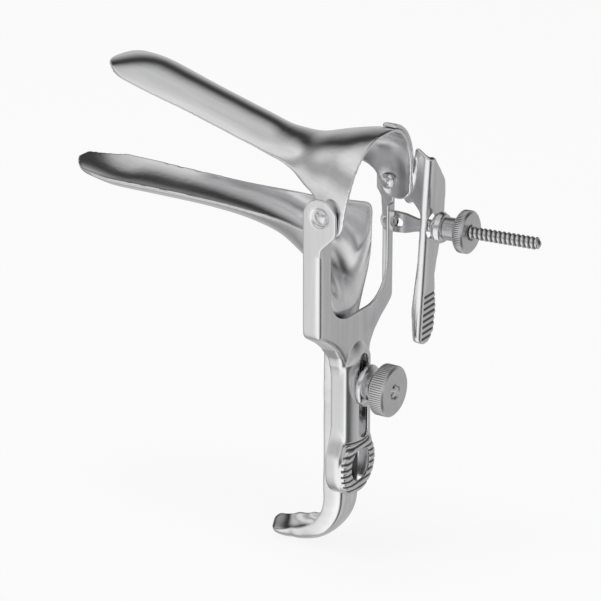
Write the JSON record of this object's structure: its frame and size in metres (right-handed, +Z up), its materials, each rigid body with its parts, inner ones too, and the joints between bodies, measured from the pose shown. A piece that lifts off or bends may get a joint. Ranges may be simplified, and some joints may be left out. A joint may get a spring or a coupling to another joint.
{
  "type": "bivalve speculum",
  "caption": "Two-bladed surgical speculum in steel with a hinged upper blade, sliding yoke, thumb lever and knurled set nuts.",
  "frame": {"origin": "On the hinge axis of the blades, midway between the two hinge rivets", "axes": "+X points from the blades towards the operator, +Y to the side with the thumb lever, +Z up"},
  "size_m": [0.1625, 0.0576, 0.1614],
  "materials": {
    "blade_steel": "polished stainless sheet with soft brushed bands",
    "lever_steel": "satin stainless sheet, polished edges",
    "yoke_steel": "satin stainless pressing, polished rims",
    "rod_steel": "cut thread on stainless rod, dark in the grooves",
    "turned_steel": "turned and polished stainless",
    "knurled_steel": "straight-knurled rim, faced front"
  },
  "bodies": {
    "lower": {"lower_blade": "blade_steel", "clamp_stud": "turned_steel"},
    "yoke": {"yoke_frame": "yoke_steel", "hinge_rivets": "turned_steel", "screw_pin": "turned_steel"},
    "upper": {"upper_blade": "blade_steel", "thumb_lever": "lever_steel"},
    "rod": {"lever_screw": "rod_steel"},
    "rod_collar": {"lever_collar": "turned_steel"},
    "rod_nut": {"lever_nut": "knurled_steel"},
    "stud_collar": {"clamp_collar": "turned_steel"},
    "stud_nut": {"clamp_nut": "knurled_steel"}
  },
  "joints": [
    {"name": "yoke_slide", "type": "slide", "parent": "lower", "child": "yoke", "axis": [0, 0, 1], "range_m": [-0.0082, 0.005]},
    {"name": "blade_tilt", "type": "hinge", "parent": "yoke", "child": "upper", "pos_m": [0, 0, 0], "axis": [0, 1, 0], "range_deg": [-17.5, 10]},
    {"name": "rod_swing", "type": "hinge", "parent": "yoke", "child": "rod", "pos_m": [-0.0022, 0.026, -0.0162], "axis": [0, 1, 0], "range_deg": [-14.2, 8.2]},
    {"name": "rod_collar_slide", "type": "slide", "parent": "rod", "child": "rod_collar", "axis": [0.9989, 0, 0.0471], "range_m": [-0.0029, 0.0049]},
    {"name": "rod_nut_spin", "type": "hinge", "parent": "rod_collar", "child": "rod_nut", "pos_m": [0.02, 0.026, -0.01515], "axis": [0.9989, 0, 0.0471], "range_deg": [-600, 1010]},
    {"name": "stud_collar_slide", "type": "slide", "parent": "lower", "child": "stud_collar", "axis": [1, 0, 0], "range_m": [0, 0.004]},
    {"name": "stud_nut_spin", "type": "hinge", "parent": "stud_collar", "child": "stud_nut", "pos_m": [0.011, 0, -0.0654], "axis": [1, 0, 0], "range_deg": [0, 955]}
  ],
  "couplings": [
    {"joint": "rod_swing", "follows": "blade_tilt", "ratio": 0.8},
    {"joint": "rod_collar_slide", "follows": "blade_tilt", "m_per_rad": -0.0158},
    {"joint": "rod_nut_spin", "follows": "blade_tilt", "ratio": -56.728},
    {"joint": "stud_collar_slide", "follows": "stud_nut_spin", "m_per_rad": 0.00023873}
  ]
}
